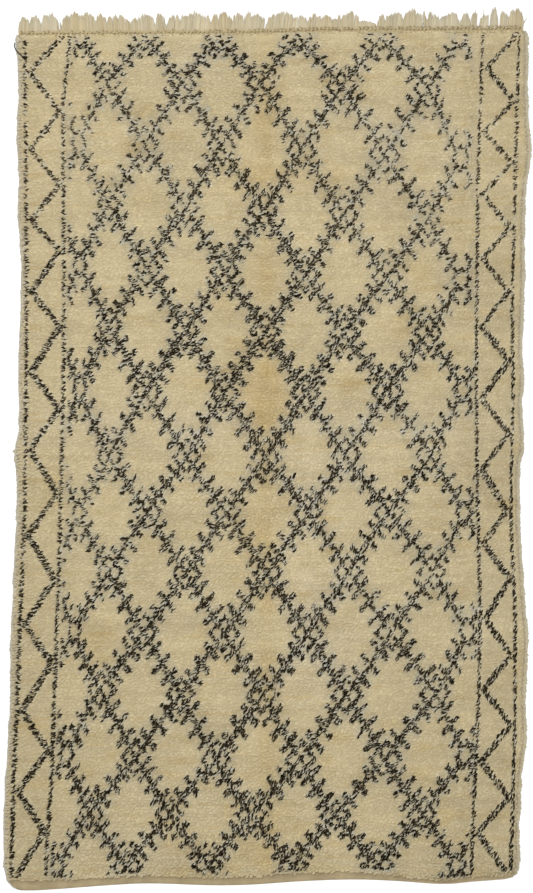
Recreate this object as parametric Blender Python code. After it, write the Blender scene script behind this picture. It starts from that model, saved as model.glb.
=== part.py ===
"""A Beni Ourain rug that lies flat on a floor.

The rug is one hand-knotted cloth: a woven ground with a thick wool pile, which hangs over both
side edges in locks, and a narrow turned hem at the foot end. At the head end a twined heading
holds the ground's own warp ends, which lie on the floor as a short fringe.

Sizes are metres. The origin is on the floor under the middle of the rug, +Y points to the
fringed head end, +X to the right and +Z up.
"""
import random
from collections import namedtuple

import bmesh
import bpy
from mathutils import Vector, noise

COLLECTION_NAME = "beni_ourain_rug"

# Driving sizes of the rug body.
FOOT_Y = -1.566             # middle of the hem's outer edge
HEAD_Y = 1.499              # middle of the pile's head end
HEAD_SKEW = 0.006           # how much further the head end lies out for each metre to the right
PILE_HEIGHT = 0.018         # floor to the tips of the pile
COLUMNS = 30                # faces of the pile surface across the rug
ROWS = 60                   # faces of the pile surface along the rug

# The pile's soft unevenness.
LUMP_RISE = 0.0040          # height of the lumps
LUMP_PITCH = 0.17           # distance from lump to lump
ROW_RISE = 0.0010           # height of the low bands that the knotting leaves across the rug
ROW_PITCH = 0.15            # distance from band to band

# Locks of pile at the two side edges.
WALL_SETBACK = 0.004        # the cloth's edge lies this far inside the outline of the locks
LOCK_ROOT_MARGIN = 0.0022   # bare rim left round a lock's root
LOCK_REACH = (0.003, 0.009)         # shortest and longest reach past the cloth's edge
LOCK_TIP_SHARE = (0.22, 0.42)       # width of a lock's tip as a share of its root
LOCK_TIP_HEIGHT = 0.0035            # top of a lock's tip above the floor
LOCK_TIP_LIFT = 0.0008              # underside of a lock's tip above the floor
HEM_END_Y = -1.535          # no lock grows between here and the foot end

# The fringe and its heading.
HEADING_LEFT_X = -0.892
HEADING_RIGHT_X = 0.922
HEADING_DEPTH = 0.014
HEADING_HEIGHT = 0.005
HEADING_GAP = 0.0003        # the heading is parted from the pile's end by this much
STRANDS = 150
STRAND_MID_SHARE = 0.80     # width half-way along a strand as a share of its root
STRAND_TIP_SHARE = 0.34     # width at the tip as a share of the root
STRAND_MID_HEIGHT = 0.0042
STRAND_TIP_HEIGHT = 0.0018
BUNCH_CLOSE = 0.22          # how far the tips of a bunch draw in towards its peak
BUNCH_ARCH = 0.22           # how much shorter the outer strands of a bunch are

# Height of the surface, in from the edges.
Step = namedtuple("Step", "inward height")
SIDE_STEPS = (Step(0.0, 0.0105), Step(0.011, 0.0155))
HEAD_STEPS = (Step(0.0, 0.0125), Step(0.011, 0.0165))
FOOT_STEPS = (Step(0.0, 0.0040), Step(0.006, 0.0070), Step(0.015, 0.0045), Step(0.021, 0.0145))

# Outline of the two sides: how far out from the rug's middle line each one lies at y.
Section = namedtuple("Section", "y left right")
SECTIONS = (
    Section(-1.590, 0.890, 0.872),
    Section(-1.575, 0.926, 0.874),
    Section(-1.562, 0.940, 0.880),
    Section(-1.548, 0.944, 0.888),
    Section(-1.537, 0.945, 0.902),
    Section(-1.512, 0.946, 0.908),
    Section(-1.470, 0.946, 0.909),
    Section(-1.390, 0.948, 0.908),
    Section(-1.282, 0.944, 0.913),
    Section(-1.174, 0.938, 0.919),
    Section(-1.066, 0.931, 0.934),
    Section(-0.904, 0.923, 0.930),
    Section(-0.706, 0.922, 0.940),
    Section(-0.544, 0.914, 0.927),
    Section(-0.364, 0.907, 0.915),
    Section(-0.220, 0.898, 0.909),
    Section(-0.083, 0.902, 0.911),
    Section(-0.004, 0.908, 0.925),
    Section(0.068, 0.891, 0.923),
    Section(0.158, 0.892, 0.916),
    Section(0.230, 0.895, 0.926),
    Section(0.340, 0.892, 0.918),
    Section(0.572, 0.884, 0.927),
    Section(0.716, 0.885, 0.927),
    Section(0.842, 0.897, 0.929),
    Section(0.932, 0.892, 0.932),
    Section(1.040, 0.895, 0.949),
    Section(1.148, 0.900, 0.945),
    Section(1.292, 0.891, 0.938),
    Section(1.400, 0.898, 0.941),
    Section(1.510, 0.902, 0.938),
)

# Outline of the foot end: how far past FOOT_Y the hem's edge lies at x.
FootPoint = namedtuple("FootPoint", "x past")
FOOT_POINTS = (
    FootPoint(-0.94, 0.004),
    FootPoint(-0.89, 0.022),
    FootPoint(-0.76, 0.018),
    FootPoint(-0.60, 0.006),
    FootPoint(-0.43, -0.003),
    FootPoint(-0.20, 0.004),
    FootPoint(-0.06, 0.002),
    FootPoint(0.13, -0.011),
    FootPoint(0.32, -0.017),
    FootPoint(0.48, -0.011),
    FootPoint(0.64, 0.000),
    FootPoint(0.75, -0.010),
    FootPoint(0.81, -0.014),
    FootPoint(0.87, -0.019),
    FootPoint(0.89, -0.028),
    FootPoint(0.91, -0.045),
)

# Tufts of pile that stand out further than the locks round them.
Tuft = namedtuple("Tuft", "side y reach")
TUFTS = (
    Tuft("left", -0.004, 0.013),
    Tuft("left", -0.250, 0.009),
    Tuft("left", -1.520, 0.011),
    Tuft("right", 0.960, 0.010),
    Tuft("right", -0.740, 0.010),
)

# Flat bunches of the fringe from left to right: width of the bunch at the heading, reach of
# its longest strand, and where that strand stands from 0, the left side, to 1, the right.
Bunch = namedtuple("Bunch", "width reach peak")
BUNCHES = (
    Bunch(0.039, 0.050, 0.55),
    Bunch(0.041, 0.054, 0.35),
    Bunch(0.058, 0.062, 0.50),
    Bunch(0.018, 0.040, 0.40),
    Bunch(0.068, 0.068, 0.70),
    Bunch(0.058, 0.064, 0.30),
    Bunch(0.043, 0.057, 0.45),
    Bunch(0.036, 0.056, 0.65),
    Bunch(0.047, 0.055, 0.25),
    Bunch(0.025, 0.043, 0.50),
    Bunch(0.061, 0.056, 0.45),
    Bunch(0.036, 0.060, 0.35),
    Bunch(0.047, 0.054, 0.70),
    Bunch(0.090, 0.064, 0.60),
    Bunch(0.025, 0.054, 0.50),
    Bunch(0.029, 0.057, 0.50),
    Bunch(0.047, 0.062, 0.35),
    Bunch(0.040, 0.061, 0.55),
    Bunch(0.029, 0.061, 0.60),
    Bunch(0.054, 0.056, 0.25),
    Bunch(0.094, 0.064, 0.65),
    Bunch(0.050, 0.046, 0.50),
    Bunch(0.050, 0.055, 0.60),
    Bunch(0.040, 0.052, 0.45),
    Bunch(0.025, 0.037, 0.50),
    Bunch(0.013, 0.059, 0.40),
    Bunch(0.063, 0.060, 0.50),
    Bunch(0.067, 0.029, 0.30),
    Bunch(0.023, 0.055, 0.50),
    Bunch(0.065, 0.060, 0.65),
    Bunch(0.068, 0.068, 0.40),
    Bunch(0.022, 0.063, 0.45),
    Bunch(0.022, 0.060, 0.40),
    Bunch(0.025, 0.049, 0.40),
    Bunch(0.068, 0.056, 0.60),
    Bunch(0.041, 0.056, 0.70),
    Bunch(0.027, 0.060, 0.65),
    Bunch(0.040, 0.049, 0.75),
    Bunch(0.029, 0.071, 0.60),
    Bunch(0.040, 0.060, 0.60),
    Bunch(0.053, 0.071, 0.50),
)


def clear_scene():
    """Empty the scene, so that only the rug is in it."""
    for thing in list(bpy.data.objects):
        bpy.data.objects.remove(thing, do_unlink=True)


def new_collection():
    """The collection that holds the rug."""
    collection = bpy.data.collections.new(COLLECTION_NAME)
    bpy.context.scene.collection.children.link(collection)
    return collection


def wool(name, colour, roughness):
    """A matt wool material."""
    material = bpy.data.materials.new(name)
    material.use_nodes = True
    shader = material.node_tree.nodes["Principled BSDF"]
    shader.inputs["Base Color"].default_value = (*colour, 1.0)
    shader.inputs["Roughness"].default_value = roughness
    shader.inputs["Metallic"].default_value = 0.0
    return material


def add_object(name, bm, material, collection):
    """Turn a finished bmesh into a named object in the rug's collection."""
    mesh = bpy.data.meshes.new(name)
    bm.to_mesh(mesh)
    bm.free()
    mesh.shade_smooth()
    mesh.set_sharp_from_angle(angle=0.9)
    mesh.materials.append(material)
    thing = bpy.data.objects.new(name, mesh)
    collection.objects.link(thing)
    return thing


def mix(first, second, share):
    """The value that lies share of the way from first to second."""
    return first + (second - first) * share


def read_smoothly(places, values, at):
    """Read a table of values at a place between its rows, on one smooth curve."""
    last = len(places) - 1
    at = min(max(at, places[0]), places[last])
    row = 0
    while row < last - 1 and at > places[row + 1]:
        row += 1

    def slope(point):
        before = max(point - 1, 0)
        after = min(point + 1, last)
        return (values[after] - values[before]) / (places[after] - places[before])

    span = places[row + 1] - places[row]
    t = (at - places[row]) / span
    rise = t * t * (3.0 - 2.0 * t)
    lead_in = t * (1.0 - t) ** 2 * span
    lead_out = t * t * (1.0 - t) * span
    curve = mix(values[row], values[row + 1], rise)
    return curve + lead_in * slope(row) - lead_out * slope(row + 1)


def side_x(side, y):
    """x of the cloth's left or right edge at y."""
    places = [section.y for section in SECTIONS]
    reaches = [getattr(section, side) for section in SECTIONS]
    reach = read_smoothly(places, reaches, y) - WALL_SETBACK
    return -reach if side == "left" else reach


def foot_y(x):
    """y of the hem's outer edge at x."""
    places = [point.x for point in FOOT_POINTS]
    past = [point.past for point in FOOT_POINTS]
    return FOOT_Y - read_smoothly(places, past, x)


def head_y(x):
    """y of the pile's head end at x."""
    return HEAD_Y + HEAD_SKEW * x


def place_along(index, count, start_steps, end_steps, start, end):
    """Place of line number index of count + 1 lines between start and end.

    The lines beside each end keep the distances of that end's steps, and the others are even.
    """
    from_end = count - index
    if index < len(start_steps):
        return start + start_steps[index].inward
    if from_end < len(end_steps):
        return end - end_steps[from_end].inward
    first = len(start_steps) - 1
    last = count - len(end_steps) + 1
    inner_start = start + start_steps[first].inward
    inner_end = end - end_steps[-1].inward
    return mix(inner_start, inner_end, (index - first) / (last - first))


def step_height(index, count, start_steps, end_steps):
    """Height that the steps beside the ends allow at line number index, or full height."""
    from_end = count - index
    if index < len(start_steps):
        return start_steps[index].height
    if from_end < len(end_steps):
        return end_steps[from_end].height
    return PILE_HEIGHT


def pile_lump(x, y):
    """Rise of the pile's soft unevenness at a point of its surface."""
    lumps = LUMP_RISE * noise.noise(Vector((x / LUMP_PITCH, y / LUMP_PITCH, 0.5)))
    bands = ROW_RISE * noise.noise(Vector((0.0, y / ROW_PITCH, 4.5)))
    return lumps + bands


def shape_pile_surface(bm):
    """The whole upper surface, from side to side and from hem to heading."""
    bmesh.ops.create_grid(bm, x_segments=COLUMNS, y_segments=ROWS, size=0.5)
    for vert in bm.verts:
        column = round((vert.co.x + 0.5) * COLUMNS)
        row = round((vert.co.y + 0.5) * ROWS)
        # The sides are read at the row's y on a straight-sided rug, then y at the true x.
        plain_x = mix(-SECTIONS[0].left, SECTIONS[0].right, column / COLUMNS)
        plain_y = place_along(row, ROWS, FOOT_STEPS, HEAD_STEPS, foot_y(plain_x), head_y(plain_x))
        left = side_x("left", plain_y)
        right = side_x("right", plain_y)
        x = place_along(column, COLUMNS, SIDE_STEPS, SIDE_STEPS, left, right)
        y = place_along(row, ROWS, FOOT_STEPS, HEAD_STEPS, foot_y(x), head_y(x))
        end_height = step_height(row, ROWS, FOOT_STEPS, HEAD_STEPS)
        side_height = step_height(column, COLUMNS, SIDE_STEPS, SIDE_STEPS)
        z = min(end_height, side_height)
        if z == PILE_HEIGHT:
            z += pile_lump(x, y)
        vert.co = Vector((x, y, z))


def close_underside(bm):
    """Drop a wall from the rim to the floor, close it below, and return the wall's faces."""
    rim = [edge for edge in bm.edges if edge.is_boundary]
    skirt = bmesh.ops.extrude_edge_only(bm, edges=rim)["geom"]
    for part in skirt:
        if isinstance(part, bmesh.types.BMVert):
            part.co.z = 0.0
    walls = [part for part in skirt if isinstance(part, bmesh.types.BMFace)]
    bmesh.ops.holes_fill(bm, edges=[edge for edge in bm.edges if edge.is_boundary], sides=0)
    bmesh.ops.recalc_face_normals(bm, faces=bm.faces)
    return walls


def tuft_reach(side, y, usual, half_pitch):
    """Reach of the lock at y: that of a tuft that stands here, or the usual one."""
    for tuft in TUFTS:
        if tuft.side == side and abs(tuft.y - y) < half_pitch:
            return tuft.reach
    return usual


def grow_side_locks(bm, walls):
    """Draw a tapered lock of pile out of each face of the two side walls."""
    draw = random.Random(11)
    roots = [face for face in walls if abs(face.normal.x) > 0.9]
    roots = [face for face in roots if face.calc_center_median().y > HEM_END_Y]
    roots.sort(key=lambda face: (face.normal.x > 0.0, face.calc_center_median().y))
    bmesh.ops.inset_individual(bm, faces=roots, thickness=LOCK_ROOT_MARGIN)
    tips = bmesh.ops.extrude_discrete_faces(bm, faces=roots)["faces"]
    tips.sort(key=lambda face: (face.normal.x > 0.0, face.calc_center_median().y))
    for tip in tips:
        centre = tip.calc_center_median()
        side = "right" if tip.normal.x > 0.0 else "left"
        outward = 1.0 if side == "right" else -1.0
        length = max(vert.co.y for vert in tip.verts) - min(vert.co.y for vert in tip.verts)
        reach = tuft_reach(side, centre.y, draw.uniform(*LOCK_REACH), length / 2.0)
        share = draw.uniform(*LOCK_TIP_SHARE)
        drift = draw.uniform(-0.2, 0.2) * length
        for vert in tip.verts:
            upper = vert.co.z > centre.z
            vert.co.x += outward * reach
            vert.co.y = centre.y + drift + (vert.co.y - centre.y) * share
            vert.co.z = LOCK_TIP_HEIGHT if upper else LOCK_TIP_LIFT


def make_rug_body(collection):
    """The rug itself, one solid: pile, ground and hem are a single cloth."""
    bm = bmesh.new()
    shape_pile_surface(bm)
    walls = close_underside(bm)
    grow_side_locks(bm, walls)
    material = wool("cream_wool_pile", (0.53, 0.44, 0.27), 0.95)
    return add_object("rug_body", bm, material, collection)


def strand_plan():
    """Where each strand of the fringe ends: its tip's x, and its reach past the heading."""
    draw = random.Random(5)
    pitch = (HEADING_RIGHT_X - HEADING_LEFT_X) / STRANDS
    scale = (HEADING_RIGHT_X - HEADING_LEFT_X) / sum(bunch.width for bunch in BUNCHES)
    bunch_starts = []
    start = HEADING_LEFT_X
    for bunch in BUNCHES:
        bunch_starts.append(start)
        start += bunch.width * scale
    plan = []
    for index in range(STRANDS):
        root_x = HEADING_LEFT_X + (index + 0.5) * pitch
        number = max(i for i, begins in enumerate(bunch_starts) if begins <= root_x)
        bunch = BUNCHES[number]
        width = bunch.width * scale
        peak_x = bunch_starts[number] + bunch.peak * width
        away = (root_x - peak_x) / width
        reach = bunch.reach * (1.0 - BUNCH_ARCH * min(abs(away) * 1.6, 1.0) ** 2)
        reach *= draw.uniform(0.94, 1.0)
        middle_x = bunch_starts[number] + width / 2.0
        plan.append((mix(root_x, middle_x, BUNCH_CLOSE), reach))
    return plan


def place_strand_end(face, x, y, half_width, height):
    """Lay one end face of a strand at its place, level on the floor."""
    centre = face.calc_center_median()
    for vert in face.verts:
        to_right = vert.co.x > centre.x
        upper = vert.co.z > centre.z
        vert.co = Vector((x + half_width if to_right else x - half_width, y, height if upper else 0.0))


def heading_y(x, inward):
    """y of the heading strip at x, on its outer edge or inward from there."""
    return head_y(x) + HEADING_GAP + HEADING_DEPTH - inward


def make_warp_fringe(collection):
    """The twined heading strip with the warp ends that lie out from it as flat strands."""
    pitch = (HEADING_RIGHT_X - HEADING_LEFT_X) / STRANDS
    bm = bmesh.new()
    bmesh.ops.create_grid(bm, x_segments=STRANDS, y_segments=1, size=0.5)
    for vert in bm.verts:
        x = mix(HEADING_LEFT_X, HEADING_RIGHT_X, vert.co.x + 0.5)
        inward = HEADING_DEPTH if vert.co.y < 0.0 else 0.0
        vert.co = Vector((x, heading_y(x, inward), 0.0))
    raised = bmesh.ops.extrude_face_region(bm, geom=list(bm.faces))["geom"]
    for part in raised:
        if isinstance(part, bmesh.types.BMVert):
            part.co.z = HEADING_HEIGHT
    bmesh.ops.recalc_face_normals(bm, faces=bm.faces)

    roots = [face for face in bm.faces if face.normal.y > 0.9]
    plan = strand_plan()
    middles = bmesh.ops.extrude_discrete_faces(bm, faces=roots)["faces"]
    middles.sort(key=lambda face: face.calc_center_median().x)
    for index, (face, (tip_x, reach)) in enumerate(zip(middles, plan)):
        root_x = HEADING_LEFT_X + (index + 0.5) * pitch
        y = heading_y(root_x, 0.0) + reach / 2.0
        half_width = pitch * STRAND_MID_SHARE / 2.0
        place_strand_end(face, mix(root_x, tip_x, 0.4), y, half_width, STRAND_MID_HEIGHT)

    tips = bmesh.ops.extrude_discrete_faces(bm, faces=middles)["faces"]
    tips.sort(key=lambda face: face.calc_center_median().x)
    for index, (face, (tip_x, reach)) in enumerate(zip(tips, plan)):
        root_x = HEADING_LEFT_X + (index + 0.5) * pitch
        y = heading_y(root_x, 0.0) + reach
        place_strand_end(face, tip_x, y, pitch * STRAND_TIP_SHARE / 2.0, STRAND_TIP_HEIGHT)
    bmesh.ops.recalc_face_normals(bm, faces=bm.faces)
    material = wool("undyed_warp_yarn", (0.62, 0.55, 0.40), 0.9)
    return add_object("warp_fringe", bm, material, collection)


clear_scene()
rug = new_collection()
make_rug_body(rug)
make_warp_fringe(rug)
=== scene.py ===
import math
from collections import namedtuple

import bmesh
import bpy
import numpy as np
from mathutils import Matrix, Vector
from mathutils.bvhtree import BVHTree


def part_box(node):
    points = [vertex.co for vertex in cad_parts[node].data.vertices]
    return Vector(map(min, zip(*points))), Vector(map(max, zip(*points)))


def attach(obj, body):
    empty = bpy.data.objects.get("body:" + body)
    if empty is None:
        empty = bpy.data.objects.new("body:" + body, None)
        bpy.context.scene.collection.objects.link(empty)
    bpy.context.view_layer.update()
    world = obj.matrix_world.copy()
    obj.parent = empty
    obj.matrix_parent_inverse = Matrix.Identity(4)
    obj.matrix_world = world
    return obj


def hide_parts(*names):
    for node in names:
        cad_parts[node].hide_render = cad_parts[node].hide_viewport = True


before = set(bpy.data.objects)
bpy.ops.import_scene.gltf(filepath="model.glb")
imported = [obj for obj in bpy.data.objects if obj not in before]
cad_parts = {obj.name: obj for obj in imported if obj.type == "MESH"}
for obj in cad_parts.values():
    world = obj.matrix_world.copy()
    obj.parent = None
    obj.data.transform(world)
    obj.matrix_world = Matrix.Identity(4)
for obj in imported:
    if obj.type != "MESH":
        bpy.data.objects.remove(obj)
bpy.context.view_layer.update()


# --- Woven ground -------------------------------------------------------------------------
# The cloth that everything else is tied into: undyed wool warps with rows of weft beaten down
# after every row of knots. It is one piece from edge to edge. Its foot end is turned in as a
# narrow plain hem, and its underside shows the backs of the knots, as they are charted here.
GROUND_COLUMNS = 62
GROUND_ROWS = 96
GROUND_THICKNESS = 0.0042
OUTLINE_STATIONS = 900
FOOT_CORNERS = (-0.888, 0.885)      # x of the two ends of the foot edge
LEFT_ENDS = (-1.588, 1.491)         # y of the two ends of each side
RIGHT_ENDS = (-1.540, 1.502)


def mesh_points(mesh):
    """The places of a mesh's vertices."""
    return np.array([vert.co for vert in mesh.vertices])


rug_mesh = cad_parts["rug_body"].data
rug_points = mesh_points(rug_mesh)
rug_faces = np.array([tuple(face.vertices) for face in rug_mesh.polygons])
lying_faces = rug_points[rug_faces][(rug_points[rug_faces][:, :, 2] < 1e-5).all(axis=1), :, :2]
lying_edges = np.stack([lying_faces, np.roll(lying_faces, -1, axis=1)], axis=2).reshape(-1, 4)
foot_low, head_high = lying_faces[:, :, 1].min(), lying_faces[:, :, 1].max()
left_low, right_high = lying_faces[:, :, 0].min(), lying_faces[:, :, 0].max()


def outline_reach(axis, stations):
    """Lowest and highest place of the solid rug's underside across each station on an axis."""
    lows, highs = [], []
    for station in stations:
        before, after = lying_edges[:, axis] - station, lying_edges[:, 2 + axis] - station
        crossed = (before <= 0.0) != (after <= 0.0)
        share = before[crossed] / (before[crossed] - after[crossed])
        start, end = lying_edges[crossed, 1 - axis], lying_edges[crossed, 3 - axis]
        across = start + share * (end - start)
        lows.append(across.min())
        highs.append(across.max())
    return np.array(lows), np.array(highs)


side_stations = np.linspace(foot_low + 1e-4, head_high - 1e-4, OUTLINE_STATIONS)
end_stations = np.linspace(left_low + 1e-4, right_high - 1e-4, OUTLINE_STATIONS)
left_edge, right_edge = outline_reach(1, side_stations)
foot_edge, head_edge = outline_reach(0, end_stations)
HEAD_SLOPE = np.interp(0.8, end_stations, head_edge) - np.interp(-0.8, end_stations, head_edge)
HEAD_SLOPE /= 1.6
HEAD_MIDDLE = np.interp(0.0, end_stations, head_edge)


def left_x(y):
    """x of the cloth's left edge at y, carried on level past its ends."""
    return np.interp(np.clip(y, *LEFT_ENDS), side_stations, left_edge)


def right_x(y):
    """x of the cloth's right edge at y, carried on level past its ends."""
    return np.interp(np.clip(y, *RIGHT_ENDS), side_stations, right_edge)


def foot_y(x):
    """y of the cloth's foot edge at x, carried on level past its corners."""
    return np.interp(np.clip(x, *FOOT_CORNERS), end_stations, foot_edge)


def head_y(x):
    """y of the pile's head end at x."""
    return HEAD_MIDDLE + HEAD_SLOPE * x


def mix(first, second, share):
    """The value that lies share of the way from first to second."""
    return first + (second - first) * share


def on_the_cloth(across, in_from_foot, along):
    """Place on the cloth: across it from 0, left, to 1, and along it from a line near its foot.

    The line lies in_from_foot inside the foot edge, and along runs from 0 there to 1 at the head.
    """
    x = mix(left_low, right_high, across)
    for _ in range(3):
        y = mix(foot_y(x) + in_from_foot, head_y(x), along)
        x = mix(left_x(y), right_x(y), across)
    return x, y


def soft_noise(x, y, pitch, seed):
    """Smooth noise from -1 to 1 that changes over about one pitch."""
    grid = np.random.default_rng(seed).uniform(-1.0, 1.0, (64, 64))
    place_x, place_y = np.asarray(x) / pitch + 320.0, np.asarray(y) / pitch + 320.0
    column, row = np.floor(place_x).astype(int), np.floor(place_y).astype(int)
    past_x, past_y = place_x - column, place_y - row
    past_x, past_y = past_x**2 * (3.0 - 2.0 * past_x), past_y**2 * (3.0 - 2.0 * past_y)
    near, far = column % 64, (column + 1) % 64
    low, high = row % 64, (row + 1) % 64
    lower = mix(grid[low, near], grid[low, far], past_x)
    upper = mix(grid[high, near], grid[high, far], past_x)
    return mix(lower, upper, past_y)


# The chart: a lattice of barbed stems with a block of four small lozenges at each crossing.
Row = namedtuple("Row", "y tilt sag")
LATTICE_ROWS = (            # one for each half repeat, from the foot to the head
    Row(-1.690, 0.000, 0.000),
    Row(-1.497, 0.003, 0.000),
    Row(-1.314, -0.003, -0.005),
    Row(-1.108, -0.004, -0.011),
    Row(-0.876, -0.008, -0.010),
    Row(-0.657, -0.002, -0.004),
    Row(-0.444, 0.004, 0.000),
    Row(-0.228, -0.003, 0.000),
    Row(-0.026, 0.006, -0.002),
    Row(0.209, 0.000, -0.005),
    Row(0.429, -0.018, -0.006),
    Row(0.635, -0.041, -0.002),
    Row(0.854, -0.046, 0.004),
    Row(1.074, -0.044, 0.006),
    Row(1.309, -0.022, 0.006),
    Row(1.479, 0.000, 0.000),
    Row(1.680, 0.000, 0.000),
)
LATTICE_COLUMNS = (         # x of each half repeat, from beyond the left border to the right
    -0.757, -0.669, -0.565, -0.427, -0.288, -0.151, -0.005, 0.142, 0.283, 0.434, 0.589, 0.705, 0.833
)
Drift = namedtuple("Drift", "y left middle right")
LATTICE_DRIFT = (           # how far the columns lie off those places at the borders and between
    Drift(-1.483, -0.084, -0.049, -0.018),
    Drift(-1.296, -0.076, -0.045, -0.018),
    Drift(-1.094, -0.052, -0.022, 0.014),
    Drift(-0.860, -0.043, -0.003, 0.036),
    Drift(-0.644, -0.026, 0.005, 0.022),
    Drift(-0.440, -0.008, 0.008, 0.014),
    Drift(-0.022, -0.004, 0.004, 0.000),
    Drift(0.432, -0.003, -0.001, -0.005),
    Drift(0.648, -0.002, 0.001, -0.008),
    Drift(0.868, -0.003, -0.004, -0.011),
    Drift(1.084, -0.008, -0.013, -0.006),
    Drift(1.303, -0.008, -0.016, -0.004),
    Drift(1.479, 0.004, -0.032, -0.008),
)
FIELD_HALF = 0.75           # a row that sags is low in the middle and as high this far out
STRAY = 0.016               # share of a repeat by which the knots stray from the chart
STRAY_PITCH = 0.06
REPEAT = (0.287, 0.430)     # width and height of one whole repeat
STEM_REPEAT = 0.24          # metres across a stem for one whole repeat
BLOCK = (0.048, 0.061)      # from the middle of a block of lozenges to its corners
RING = (0.036, 0.045)       # the same for the single lozenges down both sides of the field
SIDE_COLUMNS = (-0.5, 4.5)  # the repeats at which they stand
PAST_LAST_COLUMN = 0.16     # the field ends this share of a repeat past the last of them
BARBS = (0.29, 0.50)        # where the barbs cross a stem, as shares of the repeat
BARB_REACH = 0.175
BARB_SLOPE = 1.15
STEM_STROKE = 0.0095        # half the width of each kind of stroke
BARB_STROKE = 0.0093
LOZENGE_STROKE = 0.0067
BOLD_MIDDLE = 0.0012        # the strokes are this much wider along the rug's middle

# The chart's borders: two dotted lines along each side with a zigzag between them.
Border = namedtuple("Border", "y left_outer left_inner right_inner right_outer")
BORDERS = (
    Border(-1.480, -0.916, -0.792, 0.737, 0.878),
    Border(-1.242, -0.911, -0.776, 0.747, 0.886),
    Border(-1.030, -0.902, -0.767, 0.758, 0.891),
    Border(-0.580, -0.884, -0.751, 0.769, 0.893),
    Border(-0.223, -0.870, -0.740, 0.759, 0.877),
    Border(0.176, -0.865, -0.731, 0.754, 0.886),
    Border(0.536, -0.862, -0.728, 0.756, 0.883),
    Border(1.004, -0.865, -0.730, 0.760, 0.895),
    Border(1.249, -0.867, -0.731, 0.769, 0.901),
    Border(1.483, -0.868, -0.706, 0.778, 0.907),
)
LEFT_TURNS = (              # y of the left zigzag's turns, the first one at its inner line
    1.500, 1.354, 1.213, 1.076, 0.950, 0.821, 0.713, 0.565, 0.439, 0.277, 0.144,
    -0.004, -0.162, -0.310, -0.468, -0.630, -0.770, -0.943, -1.084, -1.228, -1.375, -1.534,
)
RIGHT_TURNS = (             # y of the right zigzag's turns, the first one at its outer line
    1.476, 1.372, 1.249, 1.138, 1.030, 0.914, 0.796, 0.688, 0.565, 0.439, 0.317, 0.180, 0.058,
    -0.076, -0.223, -0.338, -0.468, -0.612, -0.742, -0.864, -0.990, -1.123, -1.253, -1.379, -1.526,
)
Zigzag = namedtuple("Zigzag", "turns inner past_inner outer past_outer first_is_inner")
ZIGZAGS = (                 # past_inner and past_outer: how far right of each line it turns
    Zigzag(LEFT_TURNS, "left_inner", -0.014, "left_outer", 0.018, True),
    Zigzag(RIGHT_TURNS, "right_inner", 0.018, "right_outer", -0.014, False),
)
ZIGZAG_HALF_WIDTH = 0.0126
FIELD_MARGINS = (0.016, 0.011)      # from the inner lines, left and right, to the field
LINE_HALF_WIDTH = 0.0049
LINE_BOLDER = 0.0014        # the border lines are this much wider at the foot
CHART_PAST_HEM = 0.016      # the chart's last row stands this far behind the hem


def read_down(table, column, y):
    """What a column of a table says at y, read between its rows."""
    return np.interp(y, [row.y for row in table], [getattr(row, column) for row in table])


def read_across(table, y):
    """What the left, middle and right columns of a table say at y."""
    return (read_down(table, column, y) for column in ("left", "middle", "right"))


def border_x(line, y):
    """x of one of the four border lines at y."""
    return read_down(BORDERS, line, y)


def past_lattice(x, y):
    """Metres from each place to the nearest stroke of the lattice, less than 0 in a stroke."""
    halves = np.arange(len(LATTICE_ROWS))[::-1] / 2.0
    tilt, sag = (read_down(LATTICE_ROWS, column, y) for column in ("tilt", "sag"))
    level_y = y - tilt * x - sag * (1.0 - 2.0 * (x / FIELD_HALF) ** 2)
    down = np.interp(level_y, [row.y for row in LATTICE_ROWS], halves)
    left, middle, right = read_across(LATTICE_DRIFT, y)
    share = (x - LATTICE_COLUMNS[0]) / (LATTICE_COLUMNS[-1] - LATTICE_COLUMNS[0])
    beyond = np.where(share < 0.5, left, right)
    drift = mix(middle, beyond, np.abs(2.0 * share - 1.0))
    halves = np.arange(len(LATTICE_COLUMNS)) / 2.0 - 1.0
    over = np.interp(x - drift, LATTICE_COLUMNS, halves)
    over = over + STRAY * soft_noise(x, y, STRAY_PITCH, 21)
    down = down + STRAY * soft_noise(x, y, STRAY_PITCH, 22)
    off_falling, off_rising = over + down, over - down
    off_falling = off_falling - np.round(off_falling)
    off_rising = off_rising - np.round(off_rising)
    near_x = np.abs(off_falling + off_rising) / 2.0 * REPEAT[0]
    near_y = np.abs(off_falling - off_rising) / 2.0 * REPEAT[1]
    at_side = (over < SIDE_COLUMNS[0] + 0.25) | (over > SIDE_COLUMNS[1] - 0.25)
    wide, high = (np.where(at_side, RING[axis], BLOCK[axis]) for axis in (0, 1))
    block = near_x / wide + near_y / high
    sides = np.abs(block - 1.0) / np.hypot(1.0 / wide, 1.0 / high)
    stems = np.minimum(np.abs(off_falling), np.abs(off_rising)) * STEM_REPEAT
    strokes = [sides - LOZENGE_STROKE]
    stems = stems - np.where(block < 1.0, LOZENGE_STROKE, STEM_STROKE)
    strokes.append(np.where(at_side & (block < 1.0), 1.0, stems))
    reach = BARB_REACH * (1.0 + 0.20 * soft_noise(x, y, 0.10, 23))
    for off, along in ((off_falling, off_rising), (off_rising, off_falling)):
        share = np.abs(off) / reach
        for place in (*BARBS, *(-barb for barb in BARBS)):
            past = along - place
            slant = (off - past) * REPEAT[1] - BARB_SLOPE * (off + past) * REPEAT[0]
            slant = np.abs(slant) / (2.0 * math.hypot(1.0, BARB_SLOPE))
            barb = np.where(share < 1.0, slant, 1.0) - BARB_STROKE * (1.10 - 0.25 * share)
            strokes.append(barb)
    past_end = (over - SIDE_COLUMNS[1] - PAST_LAST_COLUMN) * REPEAT[0]
    return np.maximum(np.min(strokes, axis=0), past_end)


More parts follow.
